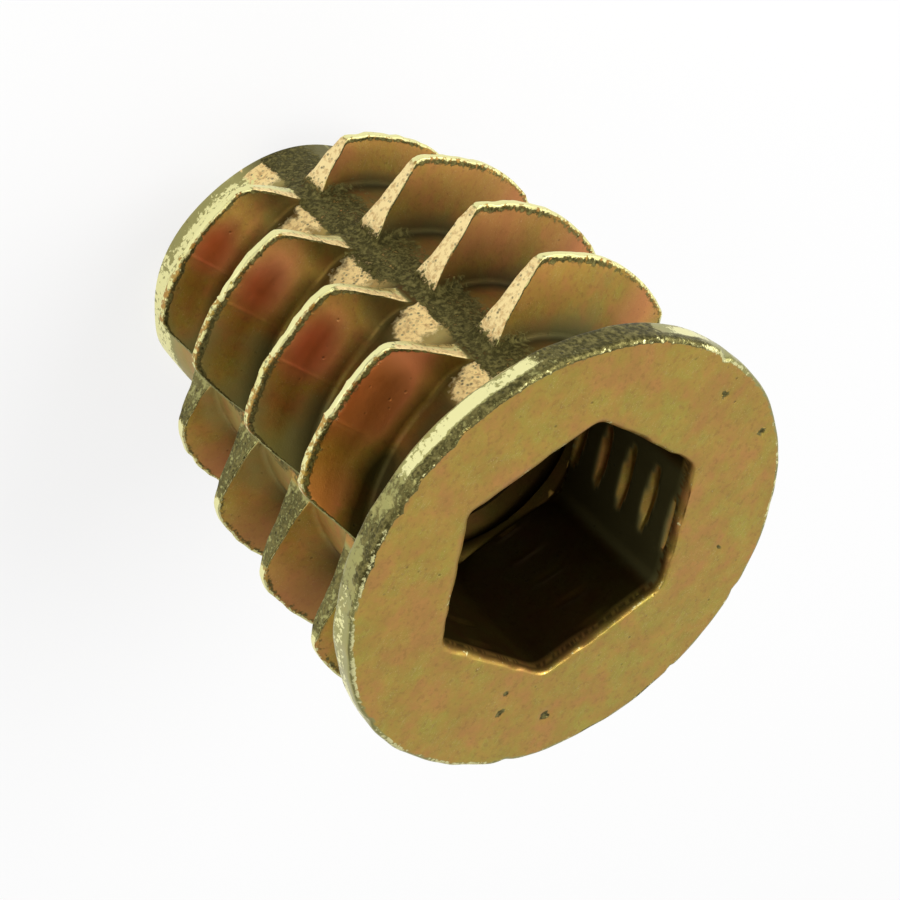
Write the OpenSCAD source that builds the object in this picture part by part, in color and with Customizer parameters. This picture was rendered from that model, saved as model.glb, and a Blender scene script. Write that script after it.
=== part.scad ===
// Flanged hex-drive threaded insert for wood, die cast in one piece.
// The insert stands on its tip with the flange face up.
// All sizes are in millimetres.

/* [Overall] */
// Length from the tip to the flange face
overall_length = 18.5; // [15:0.1:24]
// Diameter of the flange
flange_diameter = 15.5; // [12.9:0.1:18.6]
// Thickness of the flange at its rim
flange_thickness = 0.95; // [0.6:0.05:1.4]

/* [Hex socket] */
// Width of the hex socket across its flats
hex_across_flats = 8.05; // [7:0.05:9.7]
// How much of each corner of the hex is rounded off
hex_corner_trim = 0.11; // [0.04:0.01:0.2]
// Width of the bevel that breaks the edge of the hex at the flange face
hex_mouth_bevel = 0.2; // [0.1:0.05:0.4]
// Depth of the hex socket below the flange face
hex_depth = 5.6; // [4.6:0.1:6.8]
// Turn of the socket about the axis, in degrees
hex_turn = 27; // [0:1:59]

/* [Tapped hole] */
// Diameter of the tapped hole measured over the thread's crests
bore_diameter = 6.65; // [5.5:0.05:6.8]
// Width of the bevel where the tapped hole leaves the tip
bore_exit_bevel = 0.35; // [0.1:0.05:0.5]

/* [Core] */
// Wall left between the hex's corners and the outside of the core
core_wall = 0.6; // [0.4:0.05:0.8]
// How much the core's diameter drops from flange to tip
core_taper = 0.4; // [0.1:0.05:0.6]
// Radius of the fillet between the core and the flange
neck_fillet = 1.2; // [0.9:0.1:1.3]
// Size of the bevel around the tip
tip_bevel = 0.15; // [0.1:0.05:0.5]

/* [Outside thread] */
// Crest diameter of the thread at the flange
thread_diameter = 15.4; // [12.8:0.1:18.5]
// How much the full crest diameter drops from flange to tip
thread_taper = 0.5; // [0:0.05:0.8]
// Distance from one turn to the next
thread_pitch = 3.5; // [2.9:0.05:4.2]
// Width of the flat crest of a ridge
crest_land = 0.3; // [0.24:0.02:0.5]
// Width of a ridge low on its flanks
waist_width = 0.8; // [0.65:0.05:1]
// Width of a ridge where it meets the core
foot_width = 1.24; // [1.05:0.05:1.5]
// Bare length of core between the tip and the first ridge
tip_land = 1.13; // [0.8:0.01:1.4]
// Length of the run-in at the tip, where the ridges are lower
run_in_length = 8; // [6.6:0.2:9.6]
// Share of a ridge's height that the run-in takes away at the very tip
run_in_share = 0.8; // [0.5:0.02:0.9]

/* [Die slides] */
// Angle from a narrow slide's middle down to the foot of its lower end wall
narrow_low_reach = 43.4; // [41:0.2:45]
// Angle from a narrow slide's middle up to the foot of its upper end wall
narrow_high_reach = 34.5; // [31:0.5:36]
// Angle from a broad slide's middle down to the foot of its lower end wall
broad_low_reach = 51.4; // [49:0.2:52]
// Angle from a broad slide's middle up to the foot of its upper end wall
broad_high_reach = 38.7; // [36:0.1:42]
// Lean of a narrow slide's lower end wall, in degrees
narrow_low_draft = 9; // [2:0.5:14]
// Lean of a narrow slide's upper end wall, in degrees
narrow_high_draft = 15; // [5:0.5:18]
// Lean of a broad slide's lower end wall, in degrees
broad_low_draft = 1; // [0.5:0.5:6]
// Lean of a broad slide's upper end wall, in degrees
broad_high_draft = 2; // [0.5:0.5:10]

/* [Hidden] */
$fn = 96;
QUARTERS = 4;
HEX_SIDES = 6;
over = 1;
rim_round = 0.14;
waist_share = 0.3;
mouth_gap = 0.05;
root_depth = 0.4;
root_flare = 0.2;
flange_r = flange_diameter / 2;
flange_z = overall_length - flange_thickness;
hex_r = hex_across_flats / 2 / cos(180 / HEX_SIDES);
hex_corner_r = hex_r - hex_corner_trim;
socket_z = overall_length - hex_depth;
bore_r = bore_diameter / 2;
mouth_r = hex_across_flats / 2 - mouth_gap;
funnel_size = 2 * flange_diameter;
core_top_r = hex_corner_r + core_wall;
core_tip_r = core_top_r - core_taper / 2;
neck_z = flange_z - neck_fillet;
ridge_inner = core_tip_r - root_depth;
inner_width = foot_width + root_flare;
ridge_step = thread_pitch / QUARTERS;
first_ridge = tip_land + foot_width / 2;
ridge_count = floor((neck_z - first_ridge) / ridge_step) + 1;
lead_angle = atan(thread_pitch / (PI * thread_diameter));
window_x = thread_diameter / 2 + over;

// Crest radius of a full ridge at height z
function full_r(z) = thread_diameter / 2 - thread_taper / 2 * (1 - z / overall_length);

// Crest radius at height z, with the run-in taken off
function crest_r(z) =
    full_r(z) - run_in_share * (full_r(z) - core_tip_r) * pow(max(0, 1 - z / run_in_length), 2);

// Outline of half the core and flange, to be turned about the axis
module body_section() {
    difference() {
        polygon([
            [0, 0],
            [core_tip_r - tip_bevel, 0],
            [core_tip_r, tip_bevel],
            [core_top_r, neck_z],
            [core_top_r + neck_fillet, neck_z],
            [core_top_r + neck_fillet, flange_z],
            [flange_r - rim_round, flange_z],
            [flange_r, flange_z + rim_round],
            [flange_r, overall_length - rim_round],
            [flange_r - rim_round, overall_length],
            [0, overall_length]
        ]);
        translate([core_top_r + neck_fillet, neck_z])
            circle(r = neck_fillet);
    }
}

// One full ring of ridge with crest radius r and its middle at height zero
module ridge_ring(r) {
    waist_r = core_tip_r + waist_share * (r - core_tip_r);
    rotate_extrude()
        polygon([
            [ridge_inner, -inner_width / 2],
            [waist_r, -waist_width / 2],
            [r, -crest_land / 2],
            [r, crest_land / 2],
            [waist_r, waist_width / 2],
            [ridge_inner, inner_width / 2]
        ]);
}

// Distance along the pull to the foot of an end wall
function foot_x(reach) = core_top_r * cos(reach);

// Distance beside the pull to the foot of an end wall
function foot_y(reach) = core_top_r * sin(reach);

// Distance beside the pull to the outer edge of an end wall
function edge_y(reach, draft) = foot_y(reach) - (window_x - foot_x(reach)) * tan(draft);

// What one die slide reaches, for a slide that pulls along X
module slide_window(low_reach, low_draft, high_reach, high_draft) {
    translate([0, 0, -thread_pitch])
        linear_extrude(height = 2 * thread_pitch)
            polygon([
                [over, -over],
                [foot_x(low_reach) - root_depth, -foot_y(low_reach)],
                [foot_x(low_reach), -foot_y(low_reach)],
                [window_x, -edge_y(low_reach, low_draft)],
                [window_x, edge_y(high_reach, high_draft)],
                [foot_x(high_reach), foot_y(high_reach)],
                [foot_x(high_reach) - root_depth, foot_y(high_reach)],
                [over, over]
            ]);
}

// Ridge number i counted from the tip, in its own quarter and at its own height
module ridge(i) {
    z = first_ridge + i * ridge_step;
    narrow = i % 2 == 0;
    translate([0, 0, z])
        rotate([0, 0, (i + 1) * 360 / QUARTERS])
            intersection() {
                rotate([lead_angle, 0, 0])
                    ridge_ring(crest_r(z));
                if (narrow)
                    slide_window(
                        narrow_low_reach, narrow_low_draft,
                        narrow_high_reach, narrow_high_draft
                    );
                else
                    slide_window(
                        broad_low_reach, broad_low_draft,
                        broad_high_reach, broad_high_draft
                    );
            }
}

// Space for the hex key, with its corners rounded to one circle
module hex_socket() {
    translate([0, 0, socket_z])
        rotate([0, 0, hex_turn])
            intersection() {
                cylinder(h = hex_depth + over, r = hex_r, $fn = HEX_SIDES);
                cylinder(h = hex_depth + over, r = hex_corner_r);
            }
}

// Funnel with six faces at 45 degrees that breaks the edge of the socket's mouth
module mouth_funnel() {
    intersection() {
        translate([0, 0, overall_length - hex_mouth_bevel])
            cylinder(
                h = hex_mouth_bevel + over,
                r1 = hex_corner_r,
                r2 = hex_corner_r + hex_mouth_bevel + over
            );
        intersection_for(k = [0 : HEX_SIDES - 1])
            rotate([0, 0, hex_turn + (k + 0.5) * 360 / HEX_SIDES])
                translate([hex_across_flats / 2 + hex_mouth_bevel, 0, overall_length])
                    rotate([0, 45, 0])
                        translate([-funnel_size, -funnel_size / 2, -funnel_size / 2])
                            cube(funnel_size);
    }
}

// The tapped hole, with a bevel under the socket and one at the tip
module tapped_hole() {
    rotate_extrude()
        polygon([
            [0, -over],
            [bore_r + bore_exit_bevel + over, -over],
            [bore_r, bore_exit_bevel],
            [bore_r, socket_z - mouth_r + bore_r],
            [mouth_r, socket_z],
            [mouth_r, socket_z + over],
            [0, socket_z + over]
        ]);
}

// The whole casting
module insert() {
    color([0.66, 0.56, 0.3])
        difference() {
            union() {
                rotate_extrude()
                    body_section();
                for (i = [0 : ridge_count - 1])
                    ridge(i);
            }
            hex_socket();
            mouth_funnel();
            tapped_hole();
        }
}

insert();
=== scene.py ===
"""Looks of a flanged hex-drive threaded insert for wood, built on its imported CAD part."""

import math

import bmesh
import bpy
import numpy as np
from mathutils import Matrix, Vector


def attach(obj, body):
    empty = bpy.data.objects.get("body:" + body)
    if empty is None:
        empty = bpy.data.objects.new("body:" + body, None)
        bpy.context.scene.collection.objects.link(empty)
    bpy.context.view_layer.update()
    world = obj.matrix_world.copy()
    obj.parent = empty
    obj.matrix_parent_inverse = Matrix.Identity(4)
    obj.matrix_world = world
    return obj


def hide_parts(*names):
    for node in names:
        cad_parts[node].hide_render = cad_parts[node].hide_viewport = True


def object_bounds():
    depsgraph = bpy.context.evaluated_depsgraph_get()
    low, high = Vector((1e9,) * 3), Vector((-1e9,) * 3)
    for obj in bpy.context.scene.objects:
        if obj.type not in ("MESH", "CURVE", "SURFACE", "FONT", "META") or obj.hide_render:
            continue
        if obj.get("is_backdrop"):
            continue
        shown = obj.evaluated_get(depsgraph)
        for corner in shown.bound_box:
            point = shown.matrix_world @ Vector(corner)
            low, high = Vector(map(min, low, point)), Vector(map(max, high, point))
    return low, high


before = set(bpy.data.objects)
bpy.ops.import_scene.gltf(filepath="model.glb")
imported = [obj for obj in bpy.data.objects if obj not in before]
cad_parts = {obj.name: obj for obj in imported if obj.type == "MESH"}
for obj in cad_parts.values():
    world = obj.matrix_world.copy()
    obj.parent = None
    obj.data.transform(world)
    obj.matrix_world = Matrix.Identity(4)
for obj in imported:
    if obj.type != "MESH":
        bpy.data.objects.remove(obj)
cad_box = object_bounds()


# Outside thread and core: a zinc body, cast between slides that pull away from its axis,
# so that its coarse wood thread falls into quarters with a notch between each pair. The
# ridges are high and thin, and run in from little height at the tip.
MM = 0.001
# Sizes in millimetres, and heights above the tip
LENGTH = 18.5
CORE_TOP_R, CORE_TIP_R = 5.138, 5.03
TIP_BEVEL = 0.06
NECK_Z, NECK_FILLET = 16.35, 1.2
PITCH = 3.5
RIDGES = 17
FIRST_RIDGE, LOWEST_RIDGE = 1.75, 0.4
CREST_R, CREST_TAPER = 7.7, 0.25
RUN_IN_LENGTH, RUN_IN_SHARE = 8, 0.83
CREST_LAND, WAIST, FOOT = 0.26, 0.8, 1.24
WAIST_SHARE = 0.3
WIDEST = 7.74
# Reach and draft of an end wall in degrees, for the slide's lower and upper side
NARROW_WALLS = ((43.4, 9), (34.5, 15))
BROAD_WALLS = ((51.4, 1), (40.6, 5.5))
# Where one slide ends and the next begins, in degrees about the axis
SLIDE_EDGES = (42.65, 126.6, 222.65, 306.6)
# The seam between the halves of a narrow slide: its place, its width and its heights
SEAM_SWING, SEAM_HALF = -2.8, 0.35
SEAM_ON_CREST, SEAM_ON_FLANK, SEAM_ON_CORE = 0.04, 0.015, 0.012


def noise(points, cell, seed):
    """Smooth random numbers from -1 to 1: random values on a cubic lattice with the
    given cell, blended in each cell by three smoothstep curves, one for each axis."""
    lattice = np.random.default_rng(seed).uniform(-1, 1, (32, 32, 32))
    place = np.asarray(points) / cell
    low = np.floor(place).astype(int)
    part = place - low
    part = part * part * (3 - 2 * part)
    total = 0
    for corner in np.ndindex(2, 2, 2):
        weight = np.prod(np.where(corner, part, 1 - part), axis=-1)
        x, y, z = np.moveaxis((low + corner) % 32, -1, 0)
        total = total + weight * lattice[x, y, z]
    return total


def smooth_min(a, b, blend):
    """The lower of a and b, rounded over about the length blend where they meet."""
    return (a + b - np.sqrt((a - b) ** 2 + blend**2)) / 2


def smooth_max(a, b, blend):
    """The higher of a and b, rounded over about the length blend where they meet."""
    return (a + b + np.sqrt((a - b) ** 2 + blend**2)) / 2


def fade(value, start, end):
    """0 before start, 1 after end, and the smoothstep curve between them."""
    part = np.clip((value - start) / (end - start), 0, 1)
    return part * part * (3 - 2 * part)


def bump(value, middle, width):
    """1 at the middle, falling off on both sides as a bell curve of this width."""
    return np.exp(-(((value - middle) / width) ** 2))


def around(radius, degrees, height):
    """Points at these radii, angles and heights about the Z axis, in millimetres."""
    turn = np.radians(degrees)
    places = np.broadcast_arrays(radius * np.cos(turn), radius * np.sin(turn), height)
    return np.stack(places, axis=-1)


def core_radius(z):
    """The core's radius at height z: a slow taper, then a quarter circle of fillet
    that flares out to the underside of the flange."""
    taper = CORE_TIP_R + (CORE_TOP_R - CORE_TIP_R) * z / NECK_Z
    climb = np.clip(z - NECK_Z, 0, NECK_FILLET)
    return taper + NECK_FILLET - np.sqrt(NECK_FILLET**2 - climb**2)


def crest_radius(z):
    """Crest radius at height z: a slight taper, less a share of the ridge's height
    that falls off as a parabola over the run-in."""
    full = CREST_R - CREST_TAPER * (1 - z / LENGTH)
    run_in = np.clip(1 - z / RUN_IN_LENGTH, 0, 1) ** 2
    return full - RUN_IN_SHARE * (full - CORE_TIP_R) * run_in


def wall_distance(reach, draft):
    """How far an end wall's plane lies from the axis: it starts on the core at the
    angle reach from the slide's middle and leans in by the draft."""
    return CORE_TOP_R * math.sin(math.radians(reach + draft))


def wall_radius(swing, reach, draft):
    """How far out an end wall is at the angle swing from the slide's middle: the wall's
    distance over the sine of swing and draft, which are held to 3 degrees or more."""
    return wall_distance(reach, draft) / np.sin(np.radians(np.maximum(swing + draft, 3)))


def wall_swing(radius, reach, draft):
    """The angle from the slide's middle at which an end wall is that far out: the
    other sum turned round."""
    return 90 - draft - math.degrees(math.acos(wall_distance(reach, draft) / radius))


def spread(*stops):
    """Angles from stop to stop: each stop is (angle, number of steps to the next)."""
    runs = [np.linspace(a, b, n, endpoint=False) for (a, n), (b, _) in zip(stops, stops[1:])]
    return np.concatenate(runs)


# Columns of the mesh: closer together on the end walls, and three on a slide's seam. The
# back half repeats the front half.
WALL_EDGE_R = 7.5
low, high = [wall_swing(WALL_EDGE_R, *wall) for wall in NARROW_WALLS]
narrow_stops = [
    (-NARROW_WALLS[0][0], 16), (-low, 20), (SEAM_SWING - SEAM_HALF, 1), (SEAM_SWING, 1),
    (SEAM_SWING + SEAM_HALF, 18), (high, 16), (NARROW_WALLS[1][0], 5),
]
low, high = [wall_swing(WALL_EDGE_R, *wall) for wall in BROAD_WALLS]
broad_stops = [(-BROAD_WALLS[0][0], 16), (-low, 48), (high, 14), (BROAD_WALLS[1][0], 8)]
half = [(a + 180, n) for a, n in broad_stops] + [(a + 270, n) for a, n in narrow_stops]
half_angles = spread(*half, (360 - BROAD_WALLS[0][0], 0))
column_angle = np.sort(np.concatenate([half_angles, half_angles - 180]) % 360)
COLUMNS = len(column_angle)

# One side of a ridge's section as lines that follow the helix: across the land, round
# the corner, down the flank, round the root, and over the valley to the next ridge.
LAND_STEPS = np.array([0.0, 0.5, 1.0])
CORNER_TURNS = np.radians([30, 60, 90])
FLANK_STEPS = np.array([0.05, 0.12, 0.3, 0.5, 0.75, 1.0])
ROOT_TURNS = np.radians([30, 60, 90])
VALLEY_STEPS = np.array([0.25, 0.5, 0.75])
CORNER_R, ROOT_R = 0.05, 0.2
LINE_GAP = 0.012
first_flank = len(LAND_STEPS) + len(CORNER_TURNS)
side_lines = first_flank + len(FLANK_STEPS) + len(ROOT_TURNS)
lines_a_turn = 2 * side_lines - 1 + len(VALLEY_STEPS)
ZONE_LOW, ZONE_HIGH = TIP_BEVEL, 17.3

turns = np.arange(-2, math.ceil((ZONE_HIGH - ZONE_LOW) / PITCH) + 2)
quarter = np.digitize(column_angle, SLIDE_EDGES)
swing = column_angle - 90 * quarter
upper = swing > 0
narrow = quarter % 2 == 1
middle = FIRST_RIDGE - PITCH / 4 + PITCH * (turns[:, None] + column_angle / 360)
ridge_number = 4 * turns[:, None] + quarter - 1
stands = (ridge_number >= 0) & (ridge_number < RIDGES)
# End walls are rubbed bright, olive or stained dark, and the fourth kind is as cast
bright_wall, olive_wall, dark_wall = narrow & ~upper, narrow & upper, ~narrow & ~upper
*first_walls, cast_wall = [
    wall_radius(np.abs(swing), *wall) for wall in NARROW_WALLS + BROAD_WALLS
]
wall = np.select([bright_wall, olive_wall, dark_wall], first_walls, cast_wall)
# How gently a crest turns down into each kind of end wall
soft_corner = np.select([bright_wall, olive_wall, dark_wall], [0.42, 0.5, 0.75], 0.12)
# Each slide closed a little further in or out, which leaves its ridges lower or higher
narrow_slack = -0.1 * fade(middle, 6, 11)
front_slack = 0.2 - 0.16 * fade(column_angle, 165, 205) - 0.02 * (1 - fade(middle, 3, 6))
back_slack = np.interp(middle, (2, 4.1, 7.6, 11.1, 14.6), (-0.35, -0.15, -0.07, 0.09, 0.12))
slack = np.select([narrow, quarter == 2], [narrow_slack, front_slack], back_slack)
floor_r = core_radius(np.minimum(middle, NECK_Z))
crest = np.maximum(crest_radius(middle) + slack, floor_r + LOWEST_RIDGE)
on_crest = around(7, column_angle, middle)
# Crests are nicked more than they are raised, and end walls are a little uneven
rough = 0.045 * noise(on_crest, 0.8, 1) + 0.045 * noise(on_crest, 0.35, 2)
crest = crest + np.minimum(rough, 0.03)
wall = wall + 0.05 * noise(on_crest, 0.7, 3)
top = smooth_min(crest, wall, soft_corner)
on_wall = np.where(stands, fade(crest - wall, -0.1, 0.25), 0)
top = np.where(stands, smooth_max(top, floor_r, 0.08), floor_r)
top = np.clip(top, floor_r + 1e-4, WIDEST)
seam = narrow & (np.abs(swing - SEAM_SWING) < SEAM_HALF / 2)
on_seam = seam & stands & (top > floor_r + 0.5)
top = np.where(on_seam, np.minimum(top + SEAM_ON_CREST, WIDEST), top)


def ridge_side(side):
    """Half a ridge's section in millimetres, as (offsets, radii) with one entry for
    each line: the flank's width goes evenly from land to waist and from waist to foot."""
    height = top - floor_r
    corner = np.minimum(CORNER_R, height / 4)
    root = np.minimum(ROOT_R, height / 3)
    waist_r = floor_r + WAIST_SHARE * (crest - floor_r)
    # A ridge thins out down its bright end wall
    thin = 1 - 0.3 * fade(crest - wall, -0.2, 1.6) * bright_wall
    ragged = 0.045 * noise(on_crest, 0.35, 5 + side) + 0.03 * noise(on_crest, 0.17, 7 + side)

    def half_width(radius):
        """Half the section's width at a radius."""
        upper_part = CREST_LAND + (WAIST - CREST_LAND) * (crest - radius) / (crest - waist_r)
        lower_part = WAIST + (FOOT - WAIST) * (waist_r - radius) / (waist_r - floor_r)
        return np.where(radius > waist_r, upper_part, lower_part) / 2 * thin

    flat = half_width(top) + ragged * fade(height, 0.2, 0.8)
    offsets, radii = [], []
    for s in LAND_STEPS:
        offsets.append(s * (flat - corner))
        radii.append(top)
    for t in CORNER_TURNS:
        offsets.append(flat - corner + corner * np.sin(t))
        radii.append(top - corner + corner * np.cos(t))
    for s in FLANK_STEPS:
        radius = top - corner + s * (floor_r + root - top + corner)
        offsets.append(half_width(radius) + seam * SEAM_ON_FLANK)
        radii.append(radius)
    foot = half_width(floor_r + root)
    for t in ROOT_TURNS:
        offsets.append(foot + root * (1 - np.cos(t)))
        radii.append(floor_r + root - root * np.sin(t) + seam * SEAM_ON_CORE)
    # Where a ridge has no height, its lines still keep a little apart
    fan = np.clip(np.arange(len(offsets)) - len(LAND_STEPS) + 1, 0, None)
    apart = LINE_GAP * np.clip(1 - height / 0.5, 0, 1)
    return np.array(offsets) + fan[:, None, None] * apart, np.array(radii)


# Finish and painted light of each point: how worn it is, with painted highlights on the rim; how
# as-cast; how stained, with painted dark reflections on the rim and painted shade at the socket's
# mouth, all from 0 to 1; its tone from -1, red, in part a painted red glow, to 1, olive; and its
# painted shade, deep, from 0 to 1 with depth in the thread and more in the painted gloom.
below, below_r = ridge_side(-1)
above, above_r = ridge_side(1)
finish_and_shade_names = ("worn", "as_cast", "stained", "tone", "deep")
lines = {name: [] for name in ("z", "r") + finish_and_shade_names}


def add_line(*values):
    """One line of the thread's surface: its height, its radius and its finish."""
    for column, value in zip(lines.values(), values):
        column.append(np.broadcast_to(value, middle.shape))


high_ridge = fade(top - floor_r, 0.3, 0.8)
lower_half = narrow * fade(swing, SEAM_SWING - 0.1, SEAM_SWING + 0.1)
# The notches are stained, and one of the two has coarse patches beside the narrow ridges
half_turn = np.where(column_angle >= 180, column_angle, column_angle + 180)
band = half_turn + 4 * noise(on_crest, 1.1, 13) + 2 * noise(on_crest, 0.4, 14)
notch_floor = fade(band, 196, 212) * (1 - fade(band, 226, 232))
notch_floor = np.maximum(notch_floor, fade(band, 297, 304) * (1 - fade(band, 306, 316)))
notch_floor = 0.75 * notch_floor
cast_patch = fade(band, 224, 228) * (1 - fade(band, 236, 246))
cast_patch = cast_patch * fade(noise(on_crest, 0.6, 16), -0.9, -0.2)
streaked = noise(on_crest, 2.2, 15)
open_side = fade(swing, -36, -14)
narrow_tone = 0.3 + 0.7 * fade(swing, -6, 6) + 0.35 * streaked
flank_tone = np.where(narrow, narrow_tone, 0.5 * streaked - 0.25 * open_side)
# A dark outline runs under each crest, on the last lines of the corner and the next two
OUTLINE = dict(zip(range(first_flank - 2, first_flank + 2), (0.15, 0.6, 0.75, 0.12)))
for side, offsets, radii, order in (
    (-1, below, below_r, range(side_lines - 1, 0, -1)),
    (1, above, above_r, range(side_lines)),
):
    for line in order:
        on_land, on_top = line < len(LAND_STEPS), line < first_flank
        depth = np.clip((crest - radii[line]) / (crest - floor_r), 0, 1)
        at_foot = fade(depth, 0.55, 1.0)
        at_root = max(0, line - side_lines + 4) / 4
        end_wall = on_wall * on_top * fade(top - floor_r, 0.05, 0.25)
        wall_edge = end_wall * (line == first_flank - 1)

        # Worn bare along the lands, and on the bright end walls and the others' edges
        land_wear = (1 - on_wall) * high_ridge * (0.82 if on_land else 0.6 if on_top else 0)
        bright_wear = (0.66 if side < 0 or line == 0 else 0.1) * end_wall
        worn = land_wear * (1 - 0.35 * lower_half)
        worn = worn + np.where(bright_wall, bright_wear, 0.55 * wall_edge)

        # Coarse as cast on the fourth kind of end wall and beside the notch
        coarse_wall = np.where(bright_wall, 0.3 if side < 0 else 0.75, 1)
        coarse_wall = end_wall * ~dark_wall * ~olive_wall * coarse_wall
        root_patch = cast_patch * (side > 0) * at_root * (1 - high_ridge * 0.5)

        # Stained under the crests, past the seam, on the dark end walls and in notches
        outline = OUTLINE.get(line, 0) * high_ridge
        outline = outline * np.where(dark_wall, 0.7 - 0.35 * on_wall, 1)
        land_stain = 0.5 * lower_half * on_top * high_ridge * (1 - on_wall)
        wall_stain = end_wall * dark_wall * 0.62
        notch_stain = notch_floor * fade(depth, 0.7, 1)

        # Painted light and shade on a narrow flank: a painted glow in two soft spots, and painted
        # gloom at its foot and ends
        painted_glow = bump(swing, -11, 13) * bump(depth, 0.42, 0.4)
        painted_glow = painted_glow + 0.7 * bump(swing, 13, 9) * bump(depth, 0.45, 0.33)
        painted_glow = np.clip(painted_glow + fade(middle, 10, 13) * bump(depth, 0.3, 0.4), 0, 1)
        narrow_gloom = np.maximum(1.6 * at_foot, 1.8 * fade(-swing, 16, 32))
        narrow_gloom = narrow_gloom + (1 - painted_glow) * 1.05 - depth
        # Painted shade under the flange on the last turns
        last_gloom = 1.3 * fade(middle, 11, 13.5) * fade(depth, 0.3, 0.75)
        narrow_gloom = narrow_gloom + last_gloom * fade(swing, -8, 10)
        # A broad flank has painted shade on its open side
        broad_gloom = 1.25 + 0.1 * fade(middle, 5, 9) - 0.25 * fade(middle, 11, 14)
        broad_gloom = broad_gloom + 0.6 * at_foot
        gloom = np.where(narrow, narrow_gloom, broad_gloom * open_side)

        # Red where the painted glow lies on a narrow flank, and olive at the foot of a broad one
        closed_tone = 0.5 - 0.5 * fade(1 - depth, 0.2, 0.7)
        broad_tone = closed_tone * (1 - open_side) + 0.9 * at_foot * open_side
        two_tone = np.where(narrow, (-1.2 + 0.5 * streaked) * painted_glow, broad_tone)
        side_tone = np.clip(flank_tone + two_tone, -1, 1)
        top_tone = np.where(end_wall > 0.2, 1, 0.2)
        # The last value is painted shade: depth in the thread plus the painted gloom, and none on
        # the end walls
        add_line(
            middle + side * offsets[line],
            radii[line],
            worn,
            np.maximum(coarse_wall, root_patch),
            np.maximum.reduce([outline, land_stain, wall_stain, notch_stain]),
            top_tone if on_top else side_tone,
            (depth + gloom) * (1 - end_wall),
        )
# The valleys between the ridges, with what is left of the patches and the stain, and painted shade
# that is heavier on one side of each slide and none on the collar at the tip
valley_start = middle + above[-1]
valley_end = middle + PITCH - np.roll(below[-1], -1, axis=0)
for s, patch_share in zip(VALLEY_STEPS, (1.0, 0.8, 0.2)):
    z = valley_start + s * (valley_end - valley_start)
    collar = 1 - fade(z, 1.3, 1.9)
    open_gloom = 1.2 * open_side * (1 - fade(swing, 28, 40))
    valley_gloom = np.where(narrow, 1.7 * fade(swing, -43, -32), open_gloom)
    add_line(
        z,
        core_radius(np.minimum(z, NECK_Z)) + seam * SEAM_ON_CORE,
        0,
        cast_patch * patch_share,
        notch_floor,
        np.clip(flank_tone * 0.5 + 0.4 + collar, -1, 1),
        (1 - collar) * (1 + valley_gloom * (1 - cast_patch)),
    )


def in_order(rows):
    """The lines of all turns, one after another from the tip up."""
    return np.array(rows)[:, :-1].transpose(1, 0, 2).reshape(-1, COLUMNS)


ON_CORE_R = 5.6
thread = {name: in_order(rows) for name, rows in lines.items()}
thread_z = np.clip(thread.pop("z"), ZONE_LOW, ZONE_HIGH)
core_r = core_radius(thread_z)
thread_r = np.maximum(thread.pop("r"), core_r)
grain = around(thread_r, column_angle, thread_z)
lumps = 0.5 * noise(grain, 0.45, 11) + 0.5 * noise(grain, 0.2, 12)
inside_zone = fade(thread_z, ZONE_LOW, ZONE_LOW + 0.3)
inside_zone = inside_zone * (1 - fade(thread_z, ZONE_HIGH - 0.3, ZONE_HIGH))
on_core = thread_r < ON_CORE_R

# The bare collar at the tip is worn on one side, and is a little off the axis and flat
tip_collar = 1 - fade(thread_z, 1.0, 1.6)
bright_collar = fade(column_angle, 226, 240) * (1 - fade(column_angle, 345, 358))
worn_collar = np.maximum(fade(thread_z, 0.25, 0.7), fade(column_angle, 272, 292))
thread["stained"] = thread["stained"] * (1 - tip_collar * (column_angle > 280))
collar_wear = (0.15 + 0.5 * bright_collar * worn_collar) * tip_collar
thread["worn"] = np.maximum(thread["worn"], collar_wear * (1 - thread["stained"]))
# Painted shade over the collar, lighter on its bright side
collar_shade = tip_collar * (2.0 - 1.5 * bright_collar)
thread["deep"] = thread["deep"] * (1 - tip_collar) + collar_shade
thread["tone"] = np.clip(thread["tone"] + tip_collar, -1, 1)
tip_lean = 0.1 * np.cos(np.radians(column_angle - 322)) + 0.1 * bump(column_angle, 320, 9)
tip_lean = tip_lean - 0.24 * bump(column_angle, 248, 32)
lean = tip_lean * (1 - fade(thread_z, 0.6, 3))
coarse = 0.008 + 0.05 * thread["as_cast"] + 0.035 * thread["stained"] * on_core
thread_r = thread_r + lean * on_core
thread_r = np.minimum(thread_r + inside_zone * lumps * coarse, WIDEST)
thread_r = np.where(inside_zone > 0, thread_r, core_r + lean)

vertices, faces = [], []
finish_and_shade_values = {name: [] for name in finish_and_shade_names}
vertex_total = 0


def add_skin(points, climb=0, **finish_and_shade):
    """Adds a grid of points, rows by columns, that closes round the axis. On a helix
    the last column meets the first one that many rows further on."""
    global vertex_total
    rows, columns = points.shape[:2]
    number = vertex_total + np.arange(rows * columns).reshape(rows, columns)
    beside = np.roll(number, -1, axis=1)
    source = np.arange(rows) + climb
    inside = (source >= 0) & (source < rows)
    beside[:, -1] = np.where(inside, number[np.clip(source, 0, rows - 1), 0], -1)
    corners = [number[:-1], beside[:-1], beside[1:], number[1:]]
    quads = np.stack(corners, axis=-1).reshape(-1, 4)
    faces.extend(quads[(quads >= 0).all(axis=1)].tolist())
    vertices.append(points.reshape(-1, 3))
    for name, values in finish_and_shade_values.items():
        values.append(np.broadcast_to(finish_and_shade.get(name, 0.0), (rows, columns)).reshape(-1))
    vertex_total += rows * columns
    return number


def by_row(*values):
    """One number for each row of a skin."""
    return np.array(values)[:, None]


add_skin(around(thread_r, column_angle, thread_z), lines_a_turn, **thread)

# Tip, neck and flange: the rest of the body's outside, which the die's end halves form.
# The rim is ragged where the two halves met, with nicks and chips, and has arcs of painted
# highlight and of painted dark reflection.
FLANGE_R, FLANGE_T = 7.75, 0.95
RIM_ROUND = 0.14
BORE_R, EXIT_BEVEL = 3.325, 0.35
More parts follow.
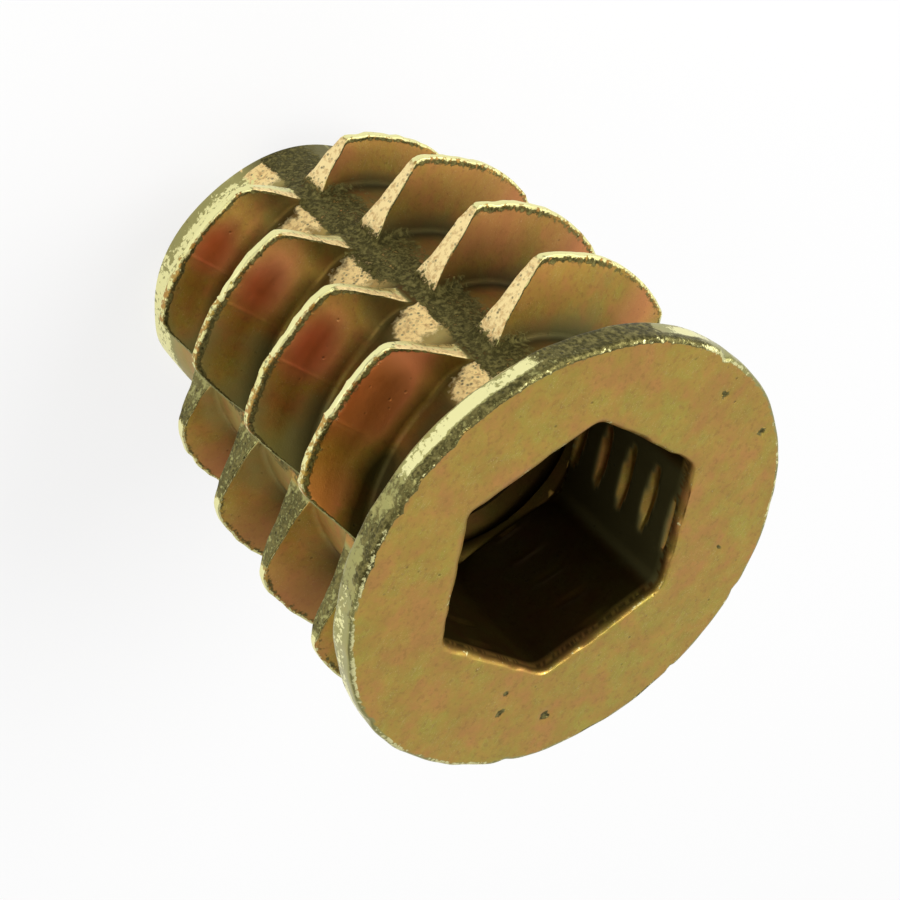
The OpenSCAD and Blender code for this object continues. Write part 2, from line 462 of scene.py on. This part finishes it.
# Nicks in the rim: place and half width in degrees, and depth
NICKS = (
    (175.8, 1.3, 0.16), (263.9, 0.9, 0.12), (269.7, 1.1, 0.15), (283, 1.2, 0.1),
    (252, 1.0, 0.07), (20, 2, 0.08), (69.9, 0.9, 0.1), (95, 1.5, 0.08), (330, 1.4, 0.06),
)
flange_z = LENGTH - FLANGE_T
tip_r = core_radius(np.float64(TIP_BEVEL))
tip_profile = np.array([
    (BORE_R + EXIT_BEVEL + 0.12, 0), (4.1, 0), (4.5, 0), (tip_r - 0.09, 0.0),
    (tip_r - 0.03, 0.012), (tip_r - 0.006, 0.035), (tip_r, TIP_BEVEL),
])
ring_r, ring_z = tip_profile[:, :1], tip_profile[:, 1:]
tip_points = around(ring_r + tip_lean * fade(ring_r, 4.1, tip_r), column_angle, ring_z)
collar_stain = notch_floor[0] * (column_angle < 280)
tip_wear = by_row(0, 0, 0, 0.3, 0.6, 0.4, 0) * (1 - collar_stain)
tip_ring = add_skin(tip_points, worn=tip_wear, tone=1.0, stained=collar_stain)[0]

neck = [(core_radius(z), z) for z in np.linspace(ZONE_HIGH, flange_z - 0.01, 4)]
flat_edge_r = FLANGE_R - RIM_ROUND
underside = [(r, flange_z) for r in np.linspace(CORE_TOP_R + NECK_FILLET, flat_edge_r, 4)]
lower_rim = [
    (flat_edge_r + RIM_ROUND * math.cos(t), flange_z + RIM_ROUND + RIM_ROUND * math.sin(t))
    for t in np.radians([-60, -30, 0])
]
side_height = FLANGE_T - 2 * RIM_ROUND
side_rim = [(FLANGE_R, flange_z + RIM_ROUND + s * side_height) for s in (0.2, 0.4, 0.6, 0.8)]
upper_rim = [(r, 2 * flange_z + FLANGE_T - z) for r, z in reversed(lower_rim)]
rim_profile = neck + underside + lower_rim + side_rim + upper_rim + [(flat_edge_r, LENGTH)]
rim_profile = np.array(rim_profile)
rim_r, rim_z = rim_profile[:, :1], rim_profile[:, 1:]
on_rim = around(rim_r, column_angle, rim_z)
rim_height = (rim_z - flange_z) / FLANGE_T
at_rim = fade(rim_r, 7.0, 7.4) * (rim_z > flange_z + 0.01)
nick = np.zeros((1, COLUMNS))
for place, width, depth in NICKS:
    nick = nick + depth * bump((column_angle - place + 180) % 360 - 180, 0, width)
ragged = 0.035 * noise(on_rim, 1.1, 21) + 0.03 * noise(on_rim, 0.55, 22) - 0.03
rim_shift = at_rim * (np.minimum(ragged, 0) - nick * fade(rim_height, 0.3, 0.9))
rim_points = around(rim_r + rim_shift, column_angle, rim_z)


def arcs(*spans, soft=4.0):
    """The strongest of several arcs about the axis. Each is (strength, start, end) in
    degrees, is 0 outside its span, and has ends that fade over the soft angle."""
    strongest = np.zeros(COLUMNS)
    for strength, start, end in spans:
        along = (column_angle - start + 180) % 360 - 180
        width = (end - start) % 360
        span = fade(along, -soft, soft) * (1 - fade(along, width - soft, width + soft))
        strongest = np.maximum(strongest, strength * span)
    return strongest


# Round the rim: arcs of painted highlight, a worn edge by the face, and arcs of painted dark
# reflection, pitted, with a painted dark line by the face on the near side
by_face = fade(rim_height, 0.55, 0.72)
stain_and_dark_reflection_arcs = arcs((1, 262, 282), (0.6, 282, 300), (1.4, 196, 229), (1, 40, 75), (1, 120, 135))
stain_and_dark_reflection_arcs = np.maximum(stain_and_dark_reflection_arcs, arcs((1.25, 180, 290)) * by_face)
highlight_arcs = arcs((1, 227, 264), (1, 178, 192), (0.6, 290, 348), (1, 85, 110))
rim_stain_and_dark_reflection = at_rim * stain_and_dark_reflection_arcs * (0.6 + 0.3 * noise(on_rim, 0.9, 23))
rim_stain_and_dark_reflection = np.clip(rim_stain_and_dark_reflection, 0, 1)
rim_highlight = at_rim * highlight_arcs * fade(rim_height, 0.05, 0.2) * (1 - by_face)
rim_highlight = rim_highlight * (0.85 + 0.4 * noise(on_rim, 1.1, 24))
rim_edge = at_rim * fade(rim_height, 0.85, 1.0) * (0.34 + 0.3 * noise(on_rim, 1.3, 25))
rim_worn = np.clip(np.maximum(rim_highlight, rim_edge), 0, 1)
under_wear = 0.8 * (rim_z < flange_z + 0.01) * fade(rim_r, 5.6, 6.2)
flange_highlight_and_wear = np.maximum(rim_worn, under_wear)
add_skin(rim_points, worn=flange_highlight_and_wear, stained=rim_stain_and_dark_reflection, tone=at_rim * 0.9)

# Face of the flange: flat as cast, with a few pits, round a hex hole that its core pin
# left a little off the axis. The hole's mouth is rounded, and more so on one side.
HEX_FLAT, HEX_CORNER_TRIM, HEX_TURN = 4.04, 0.09, 27
HEX_SHIFT = (-0.27, -0.33)
MOUTH_BEVEL, MOUTH_EXTRA, MOUTH_WIDE_AT, MOUTH_DROP = 0.1, 0.28, 262, 0.35
# Pits in the face: x, y, width and depth
PITS = (
    (5.3, 3.03, 0.17, 0.09), (5.54, 1.06, 0.14, 0.07), (4.85, 0.8, 0.13, 0.06),
    (-6.53, 1.47, 0.14, 0.06), (-5.9, 4.03, 0.15, 0.06), (-1.9, 5.6, 0.12, 0.05),
)


def shift_towards(radians):
    """How far the hex's middle lies from the axis in this direction."""
    return HEX_SHIFT[0] * np.cos(radians) + HEX_SHIFT[1] * np.sin(radians)


off_axis = shift_towards(np.radians(column_angle))


def hex_outline():
    """Radius of the hex at each column: the nearest of six flats, each a distance from
    the hex's own middle, held to a circle at the corners."""
    flat_turn = np.radians(HEX_TURN + 30 + 60 * np.arange(6))[:, None]
    lean = np.cos(np.radians(column_angle) - flat_turn)
    reach = (HEX_FLAT + shift_towards(flat_turn)) / np.maximum(lean, 0.3)
    flat = np.min(np.where(lean > 0.3, reach, 99), axis=0)
    corner = HEX_FLAT / math.cos(math.radians(30)) - HEX_CORNER_TRIM + off_axis
    return smooth_min(flat, corner, 0.05)


hex_r = hex_outline()
wide_side = 0.5 + 0.5 * np.cos(np.radians(column_angle - MOUTH_WIDE_AT))
mouth_bevel = MOUTH_BEVEL + MOUTH_EXTRA * wide_side**2
share = np.concatenate([[0, 0.015, 0.04], np.linspace(0.08, 1, 20)])[:, None]
start_r = flat_edge_r + rim_shift[-1:]
face_r = start_r * (1 - share) + (hex_r + mouth_bevel) * share
face_points = around(face_r, column_angle, LENGTH)
sink = np.zeros(face_points.shape[:2])
for x, y, width, depth in PITS:
    sink = sink + depth * bump(np.hypot(face_points[..., 0] - x, face_points[..., 1] - y), 0, width)
sink = sink * fade(share, 0, 0.1) * (1 - fade(share, 0.9, 1))
waves = 0.006 * (1 + noise(face_points, 1.4, 31))
face_points[..., 2] -= sink + waves * fade(share, 0, 0.2) * (1 - fade(share, 0.8, 1))
# Next to the rim the face takes the rim's painted highlights and painted dark reflections, besides
# the stain in its pits
by_rim = 1 - fade(share, 0, 0.03)
face_stain_and_dark_reflection = np.maximum(np.clip(sink / 0.05, 0, 1), rim_stain_and_dark_reflection[-1:] * by_rim)
add_skin(face_points, worn=rim_worn[-1:] * by_rim, stained=face_stain_and_dark_reflection)

# Hex socket: the cast hole that an 8 mm key drives. The tap that cut the hole below was
# wider than the hex, so it left a row of lens-shaped streaks up each flat.
SOCKET_DEPTH = 5.6
TAP_R, TAP_PITCH = 4.0, 1.25
STREAK_R, STREAK_PHASE = 4.25, 0.3
MOUTH_R, LEDGE = 3.975, 0.1
# Directions in degrees: the lit flat, the middle of its streaks, and the side where the mouth takes
# the most painted shade
LIT_FLAT, STREAKS_AT, SHADED_SIDE_AT = 117, 124, 230
socket_z = LENGTH - SOCKET_DEPTH
turn = np.radians(by_row(0, 20, 45, 70, 90))
mouth_z = LENGTH - MOUTH_DROP * (1 - np.cos(turn))
ragged_mouth = 0.06 * noise(around(4.6, column_angle, mouth_z), 0.5, 42) * np.sin(2 * turn)
mouth_r = hex_r + mouth_bevel * (1 - np.sin(turn)) + ragged_mouth
mouth_points = around(mouth_r, column_angle, mouth_z)
mouth_wear = by_row(0, 0.3, 0.3, 0.1, 0) * (0.8 + 0.9 * noise(mouth_points, 0.7, 41))
# Painted shade where the mouth turns down into the socket, heavier on one side
shaded_side = 0.5 + 0.5 * np.cos(np.radians(column_angle - SHADED_SIDE_AT))
add_skin(
    mouth_points,
    worn=np.clip(mouth_wear, 0, 1),
    stained=by_row(0, 0, 0, 0.3, 0.8) * shaded_side,
    deep=by_row(0, 0.3, 1.2, 2, 2.5),
)
depth = np.linspace(LENGTH - MOUTH_DROP, socket_z, 44)[:, None]
phase = ((depth - TAP_PITCH * column_angle / 360) / TAP_PITCH + STREAK_PHASE) % 1
lit_flat = 1 - fade(np.abs(column_angle - LIT_FLAT), 27, 33)
tooth = np.minimum(0.1 - 1.2 * np.abs(phase - 0.5) * TAP_PITCH, 0)
tooth = tooth + STREAK_R - 0.14 * (1 - lit_flat)
in_socket = (depth < LENGTH - MOUTH_DROP) & (depth > socket_z + 0.05)
wall_r = np.maximum(hex_r, np.where(in_socket, tooth + off_axis, 0))
streak = fade(wall_r - hex_r, 0.0, 0.06) * lit_flat
streak = streak * (1 - 0.5 * fade(np.abs(column_angle - STREAKS_AT), 10, 26))
# Painted shade on the socket's walls, growing below the mouth; the streaks have most of it taken
# off, which paints them as highlights
socket_shade = fade(LENGTH - depth, MOUTH_DROP, 0.6) * (1 - 0.6 * lit_flat)
wall_shade = (1 + socket_shade * 2 + 0.6 * lit_flat) * (1 - 0.9 * streak)
add_skin(around(wall_r, column_angle, depth), deep=wall_shade, tone=lit_flat * (1 - streak))
share = by_row(0, 0.5, 1)
ledge_r = hex_r * (1 - share) + (MOUTH_R + LEDGE) * share
# The socket's floor has full painted shade
floor_ring = add_skin(around(ledge_r, column_angle, socket_z), deep=3.0)[-1]

# Tapped hole: a machine thread cut right through to the tip, on every third column.
COARSER = 3
bore_angle = column_angle[::COARSER]
crest_flat, root_flat = TAP_PITCH / 4, TAP_PITCH / 8
flank = (TAP_PITCH - crest_flat - root_flat) / 2


def thread_cut(degrees, z):
    """Radius of the tapped hole at an angle and height: a crest, a straight flank, a
    root and a flank again, once for each turn, and the bevels at both ends."""
    along = (z - TAP_PITCH * degrees / 360) % TAP_PITCH
    deep = np.interp(along, np.cumsum([0, crest_flat, flank, root_flat, flank]), [0, 0, 1, 1, 0])
    bevel = np.maximum(MOUTH_R - (socket_z - z), BORE_R + EXIT_BEVEL - z)
    return np.maximum(BORE_R + deep * (TAP_R - BORE_R), bevel)


stations = [0, crest_flat / 2, crest_flat / 2, flank / 2, flank / 2, root_flat, flank / 2]
stations = np.cumsum(stations)
bore_turns = np.arange(math.ceil(socket_z / TAP_PITCH) + 1, -3, -1)
bore_z = (TAP_PITCH * bore_turns[:, None] + stations[::-1]).reshape(-1, 1)
bore_z = np.clip(bore_z + TAP_PITCH * bore_angle / 360, 0, socket_z)
hole_r = np.where(bore_z <= 0, BORE_R + EXIT_BEVEL, thread_cut(bore_angle, bore_z))
hole_r = np.where(bore_z >= socket_z, MOUTH_R, hole_r)
bore_points = around(hole_r, bore_angle, bore_z)
# Painted shade in the tapped hole: none within 2 mm of the tip, full from 5 mm up
add_skin(bore_points, -len(stations), deep=3 * fade(bore_z, 2, 5))


def step_down(ring, radius, height, upward):
    """Joins a ring of all the columns to the hole's edge, which has every third one:
    a flat five-sided or six-sided face for each of the hole's columns."""
    edge = add_skin(around(radius, bore_angle, np.full((1, 1), height)))[0]
    outer, inner = np.append(ring, ring[0]), np.append(edge, edge[0])
    for number in range(len(edge)):
        first = number * COARSER
        loop = outer[first : first + COARSER + 1].tolist()
        loop = loop + [int(inner[number + 1]), int(inner[number])]
        faces.append(loop if upward else loop[::-1])


step_down(floor_ring, MOUTH_R, socket_z, True)
step_down(tip_ring, BORE_R + EXIT_BEVEL, 0.0, False)

mesh = bpy.data.meshes.new("casting")
mesh.from_pydata((np.concatenate(vertices) * MM).tolist(), [], faces)
for name, values in finish_and_shade_values.items():
    attribute = mesh.attributes.new(name, "FLOAT", "POINT")
    attribute.data.foreach_set("value", np.concatenate(values).astype(np.float32))
shape = bmesh.new()
shape.from_mesh(mesh)
bmesh.ops.remove_doubles(shape, verts=shape.verts, dist=1e-7)
bmesh.ops.dissolve_degenerate(shape, edges=shape.edges, dist=1e-8)
shape.to_mesh(mesh)
shape.free()
mesh.shade_smooth()
mesh.set_sharp_from_angle(angle=math.radians(50))
casting = bpy.data.objects.new("casting", mesh)
bpy.context.scene.collection.objects.link(casting)


class Wire:
    """A socket in a material's node tree. Python's operators on it add Math nodes."""

    def __init__(self, tree, socket=None):
        self.tree = tree
        self.socket = socket

    def node(self, kind, settings=None, sockets=None, out=0):
        """A node of any kind: its settings are set first, then its sockets' values or
        links."""
        made = self.tree.nodes.new(kind)
        for name, value in (settings or {}).items():
            setattr(made, name, value)
        for name, value in (sockets or {}).items():
            if isinstance(value, Wire):
                self.tree.links.new(value.socket, made.inputs[name])
            else:
                made.inputs[name].default_value = value
        return Wire(self.tree, made.outputs[out])

    def feed(self, socket):
        """Links this to a socket of a shader or a background."""
        self.tree.links.new(self.socket, socket)

    def maths(self, operation, first, second):
        """A Math node on two numbers or wires."""
        return self.node("ShaderNodeMath", {"operation": operation}, {0: first, 1: second})

    def __add__(self, other):
        return self.maths("ADD", self, other)

    __radd__ = __add__

    def __sub__(self, other):
        return self.maths("SUBTRACT", self, other)

    def __rsub__(self, other):
        return self.maths("SUBTRACT", other, self)

    def __mul__(self, other):
        return self.maths("MULTIPLY", self, other)

    __rmul__ = __mul__

    def between(self, start, end):
        """0 up to start, 1 from end on, and an even climb between them."""
        return self.node("ShaderNodeMapRange", {}, {0: self, 1: start, 2: end})

    def highest(self, other):
        """The higher of this and another."""
        return self.maths("MAXIMUM", self, other)

    def tint(self, first, second):
        """first where this is 0, second where it is 1, and their mix between."""
        return self.node("ShaderNodeMix", {"data_type": "RGBA"}, {0: self, 6: first, 7: second}, 2)


# Finish: yellow chromate over bright zinc plating. It is ochre with faint pink and green clouds,
# wears through to pale metal on the crests, and is coarse and pale as cast on the end walls, and
# dark and pitted in the stained bands. The colour also carries painted light: painted shade in the
# thread and socket, a painted red glow on the narrow flanks, and painted highlights and dark
# reflections round the rim.
GOLD, PINK, GREEN = (0.60, 0.385, 0.085, 1), (0.65, 0.335, 0.1, 1), (0.53, 0.43, 0.08, 1)
# Part of the red is a painted red glow, the bare metal colour also serves for painted highlights,
# and the stain colours also serve for painted shade and dark reflections
RED_AND_GLOW, OLIVE = (0.80, 0.32, 0.14, 1), (0.39, 0.37, 0.135, 1)
BROWN, UMBER, STRAW = (0.42, 0.22, 0.07, 1), (0.36, 0.235, 0.06, 1), (0.85, 0.66, 0.28, 1)
SCRATCHED = (0.80, 0.62, 0.30, 1)
PALE, CAST_PIT, BARE_AND_HIGHLIGHT = (1.0, 0.82, 0.42, 1), (0.66, 0.45, 0.19, 1), (0.90, 0.86, 0.42, 1)
STAIN_AND_SHADE, STAIN_AND_SHADE_WORN, SOOT = (0.085, 0.075, 0.024, 1), (0.27, 0.235, 0.08, 1), (0.03, 0.025, 0.01, 1)
# Painted shade: what the colour is multiplied by on an open crest, at the root and in deep gloom
OPEN_SHADE, ROOT_SHADE, GLOOM_SHADE = (1, 1, 1, 1), (0.9, 0.86, 0.88, 1), (0.13, 0.12, 0.11, 1)

material = bpy.data.materials.new("yellow chromate")
material.use_nodes = True
tree = material.node_tree
shader = tree.nodes["Principled BSDF"]
wire = Wire(tree)
place = wire.node("ShaderNodeTexCoord", out=3)
worn, as_cast, stained, tone, deep = [
    wire.node("ShaderNodeAttribute", {"attribute_name": name}, out=2) for name in finish_and_shade_names
]


def speckle(place, cell, detail=2.0, rough=0.55):
    """Noise from 0 to 1 whose blotches are about a cell across, in millimetres."""
    sockets = {"Vector": place, "Scale": 1 / (cell * MM), "Detail": detail, "Roughness": rough}
    return wire.node("ShaderNodeTexNoise", {}, sockets)


def cells(size):
    """Distance to the nearest of scattered points that lie about this far apart, as a
    share of that, in millimetres."""
    sockets = {"Vector": place, "Scale": 1 / (size * MM), "Randomness": 1.0}
    return wire.node("ShaderNodeTexVoronoi", {}, sockets)


def scratches(across, shift):
    """Thin lines along one direction: noise squeezed across it, cut to a narrow band."""
    sockets = {"Vector": place, "Location": (shift, 0, 0), "Rotation": (0, 0, across)}
    stretch = wire.node("ShaderNodeMapping", {}, {**sockets, "Scale": (1, 14, 1)})
    level = speckle(stretch, 1.5, 1.0) - 0.5
    level = wire.node("ShaderNodeMath", {"operation": "ABSOLUTE"}, {0: level})
    return level.between(0.012, 0.0)


clouds = speckle(place, 1.9, 5.0, 0.7)
mottle = speckle(place, 0.7, 4.0)
crumbs = speckle(place, 0.16, 3.0, 0.6)
fine = speckle(place, 0.05)
dots, pores = cells(0.42), cells(0.2)
scratch = scratches(0.5, 0.01).highest(scratches(-0.9, 0.03)) * mottle.between(0.5, 0.62)

# Masks for the finish and the painted light, with ragged edges: the bare mask also takes the
# painted highlights, the dark mask the painted shade and dark reflections, and the red mask the
# painted glow
torn = (crumbs - 0.5) * 1.6 + (mottle - 0.5) * 0.6
waver = (mottle - 0.5) * 0.5
bare_and_highlight = (worn + torn * 0.9).between(0.42, 0.56)
cast = (as_cast + torn * 0.5).between(0.35, 0.65)
dark = (stained + torn * 0.9).between(0.40, 0.62)
red_and_glow = (tone * -1 + waver).between(0.1, 0.9)
green = (tone + waver).between(0.1, 0.9)
pit = (1 - dots.between(0.05, 0.16)) * mottle.between(0.52, 0.6)
pocked = (1 - pores.between(0.12, 0.34)) * crumbs.between(0.4, 0.55) * cast.highest(dark)

# Colour: the chromate and its clouds, then painted shade, then what lies over or under it
clouded = clouds + (mottle - 0.5) * 0.9
colour = clouded.between(0.3, 0.5).tint(PINK, GOLD)
colour = clouded.between(0.5, 0.72).tint(colour, GREEN)
colour = (crumbs.between(0.53, 0.68) * 0.5).tint(colour, BROWN)
colour = (scratch * 0.3).tint(colour, SCRATCHED)
colour = (speckle(place, 1.0, 6.0, 0.8).between(0.35, 0.65) * 0.4).tint(colour, UMBER)
colour = (fine.between(0.6, 0.72) * mottle.between(0.4, 0.6) * 0.5).tint(colour, STRAW)
colour = red_and_glow.tint(colour, RED_AND_GLOW)
colour = green.tint(colour, OLIVE)
shade = deep.between(0, 1).tint(OPEN_SHADE, ROOT_SHADE)
shade = deep.between(1, 3).tint(shade, GLOOM_SHADE)
multiply = {"data_type": "RGBA", "blend_type": "MULTIPLY"}
colour = wire.node("ShaderNodeMix", multiply, {0: 1.0, 6: colour, 7: shade}, 2)
colour = cast.tint(colour, crumbs.between(0.3, 0.52).tint(CAST_PIT, PALE))
colour = dark.tint(colour, crumbs.between(0.42, 0.66).tint(STAIN_AND_SHADE, STAIN_AND_SHADE_WORN))
colour = bare_and_highlight.tint(colour, BARE_AND_HIGHLIGHT)
colour = (pocked * 0.75).tint(colour, SOOT)
colour = (pit * 0.5).tint(colour, SOOT)
colour.feed(shader.inputs["Base Color"])

roughness = 0.27 + mottle * 0.12 + deep.between(0, 1) * 0.22
roughness = roughness + cast * 0.18 + dark * 0.18 + green * 0.04 - bare_and_highlight * 0.04
roughness.feed(shader.inputs["Roughness"])
shader.inputs["Metallic"].default_value = 1.0
relief = fine * 0.2 + mottle * 0.5 + crumbs * (0.25 + cast * 1.5 + dark * 1.0)
relief = relief - pit * 0.6 - pocked * 1.0
grain_sockets = {"Height": relief, "Strength": 0.6, "Distance": 0.03 * MM}
wire.node("ShaderNodeBump", {}, grain_sockets).feed(shader.inputs["Normal"])
mesh.materials.append(material)
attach(casting, "root")
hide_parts("insert")

# Floor: a plain white sheet. Rays from the camera and from shiny metal see it as white
# paper in full light, and it keeps a soft shadow.
floor_mesh = bpy.data.meshes.new("floor")
floor_mesh.from_pydata([(-1, -1, 0), (1, -1, 0), (1, 1, 0), (-1, 1, 0)], [], [(0, 1, 2, 3)])
floor = bpy.data.objects.new("floor", floor_mesh)
bpy.context.scene.collection.objects.link(floor)
paper = bpy.data.materials.new("white paper")
paper.use_nodes = True
paper.node_tree.nodes.clear()
wire = Wire(paper.node_tree)
seen = wire.node("ShaderNodeLightPath", out=0).highest(wire.node("ShaderNodeLightPath", out=3))
matt = wire.node("ShaderNodeBsdfDiffuse", {}, {"Color": (0.9, 0.9, 0.9, 1)})
lit = wire.node("ShaderNodeEmission", {}, {"Color": (1, 1, 1, 1), "Strength": 1.0})
sheet = wire.node("ShaderNodeMixShader", {}, {0: seen * 0.8, 1: matt, 2: lit})
output = paper.node_tree.nodes.new("ShaderNodeOutputMaterial")
sheet.feed(output.inputs["Surface"])
floor_mesh.materials.append(paper)
floor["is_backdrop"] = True

# Light: a grey surround that is brighter towards one side, and two soft boxes. The
# camera sees the surround as white.
world = bpy.data.worlds.new("surround")
world.use_nodes = True
wire = Wire(world.node_tree)
background = world.node_tree.nodes["Background"]
look = wire.node("ShaderNodeTexCoord", out=0)
dot = {"operation": "DOT_PRODUCT"}
ahead = wire.node("ShaderNodeVectorMath", dot, {0: look, 1: (0.24, 0.70, 0.67)}, 1)
level = 0.2 + 0.45 * ahead.between(0.2, 0.9)
seen = wire.node("ShaderNodeLightPath", out=0)
(level * (1 - seen) + seen).feed(background.inputs["Strength"])
background.inputs["Color"].default_value = (1, 1, 1, 1)
bpy.context.scene.world = world


def soft_box(name, place, size, watts):
    """A square area lamp at a place in metres, turned to face the insert's middle."""
    lamp = bpy.data.lights.new(name, "AREA")
    lamp.size = size
    lamp.energy = watts
    box = bpy.data.objects.new(name, lamp)
    away = np.array(place) - (0, 0, 0.009)
    tilt = math.acos(away[2] / np.linalg.norm(away))
    box.location = place
    box.rotation_euler = (tilt, 0, math.atan2(away[1], away[0]) + math.pi / 2)
    bpy.context.scene.collection.objects.link(box)


soft_box("key", (-0.14, 0.04, 0.18), 0.2, 0.5)
soft_box("fill", (0.05, -0.16, 0.06), 0.14, 0.12)

# Camera: a long lens, looking down on the flange from the side of one notch.
lens = bpy.data.cameras.new("camera")
lens.lens = 80
lens.sensor_width = 36
lens.clip_start = 0.001
camera = bpy.data.objects.new("camera", lens)
camera.location = (-0.015432, -0.045276, 0.054403)
camera.rotation_euler = [math.radians(a) for a in (-38.704, -31.506, 127.724)]
bpy.context.scene.collection.objects.link(camera)
bpy.context.scene.camera = camera
bpy.context.scene.view_settings.view_transform = "Standard"

boxes = {"cad": cad_box, "visual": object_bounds()}
boxes = {name: [list(map(float, corner)) for corner in box] for name, box in boxes.items()}
